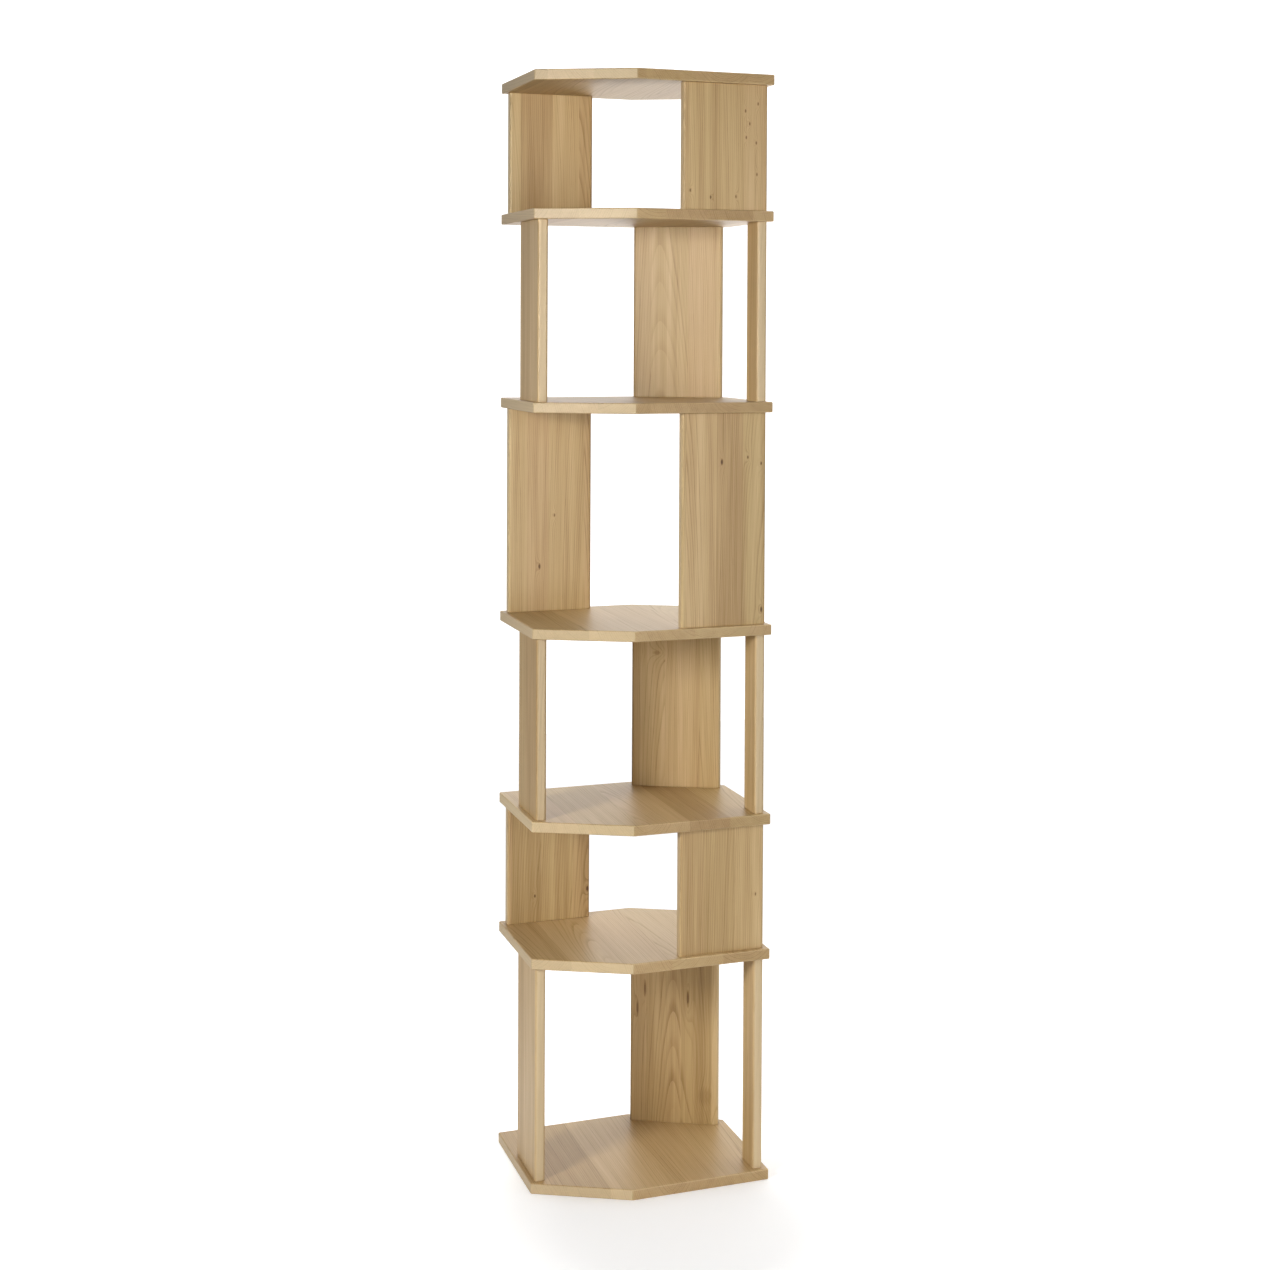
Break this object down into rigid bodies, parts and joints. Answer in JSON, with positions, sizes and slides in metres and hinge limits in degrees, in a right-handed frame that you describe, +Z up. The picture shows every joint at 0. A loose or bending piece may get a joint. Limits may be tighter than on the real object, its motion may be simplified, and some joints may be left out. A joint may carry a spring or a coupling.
{
  "type": "step bookcase",
  "caption": "Tall free-standing oak bookcase: six-sided shelves, rectangles with two opposite corners cut off, stacked on staggered upright panels and open on all sides.",
  "frame": {"origin": "on the floor, below the middle of the shelves", "axes": "+Z up, +X along the shelves, +Y towards the back"},
  "size_m": [0.425, 0.305, 2],
  "materials": {
    "oak": "matt oiled natural oak, edge-glued from staves",
    "beech_tenon": "plain planed beech"
  },
  "bodies": {
    "root": {"base_shelf": "oak", "shelf_2": "oak", "shelf_3": "oak", "shelf_4": "oak", "shelf_5": "oak", "shelf_6": "oak", "tier_1_back_panel": "oak", "tier_1_back_panel_foot_tenon": "beech_tenon", "tier_1_back_panel_head_tenon": "beech_tenon", "tier_1_left_panel": "oak", "tier_1_left_panel_foot_tenon": "beech_tenon", "tier_1_left_panel_head_tenon": "beech_tenon", "tier_1_right_post": "oak", "tier_1_right_post_foot_tenon": "beech_tenon", "tier_1_right_post_head_tenon": "beech_tenon", "tier_2_front_panel": "oak", "tier_2_front_panel_foot_tenon": "beech_tenon", "tier_2_front_panel_head_tenon": "beech_tenon", "tier_2_rear_panel": "oak", "tier_2_rear_panel_foot_tenon": "beech_tenon", "tier_2_rear_panel_head_tenon": "beech_tenon", "tier_3_back_panel": "oak", "tier_3_back_panel_foot_tenon": "beech_tenon", "tier_3_back_panel_head_tenon": "beech_tenon", "tier_3_left_panel": "oak", "tier_3_left_panel_foot_tenon": "beech_tenon", "tier_3_left_panel_head_tenon": "beech_tenon", "tier_3_right_post": "oak", "tier_3_right_post_foot_tenon": "beech_tenon", "tier_3_right_post_head_tenon": "beech_tenon", "tier_4_front_panel": "oak", "tier_4_front_panel_foot_tenon": "beech_tenon", "tier_4_front_panel_head_tenon": "beech_tenon", "tier_4_rear_panel": "oak", "tier_4_rear_panel_foot_tenon": "beech_tenon", "tier_4_rear_panel_head_tenon": "beech_tenon", "tier_5_back_panel": "oak", "tier_5_back_panel_foot_tenon": "beech_tenon", "tier_5_back_panel_head_tenon": "beech_tenon", "tier_5_left_panel": "oak", "tier_5_left_panel_foot_tenon": "beech_tenon", "tier_5_left_panel_head_tenon": "beech_tenon", "tier_5_right_post": "oak", "tier_5_right_post_foot_tenon": "beech_tenon", "tier_5_right_post_head_tenon": "beech_tenon", "tier_6_front_panel": "oak", "tier_6_front_panel_foot_tenon": "beech_tenon", "tier_6_front_panel_head_tenon": "beech_tenon", "tier_6_rear_panel": "oak", "tier_6_rear_panel_foot_tenon": "beech_tenon", "tier_6_rear_panel_head_tenon": "beech_tenon", "top_shelf": "oak"}
  },
  "joints": []
}
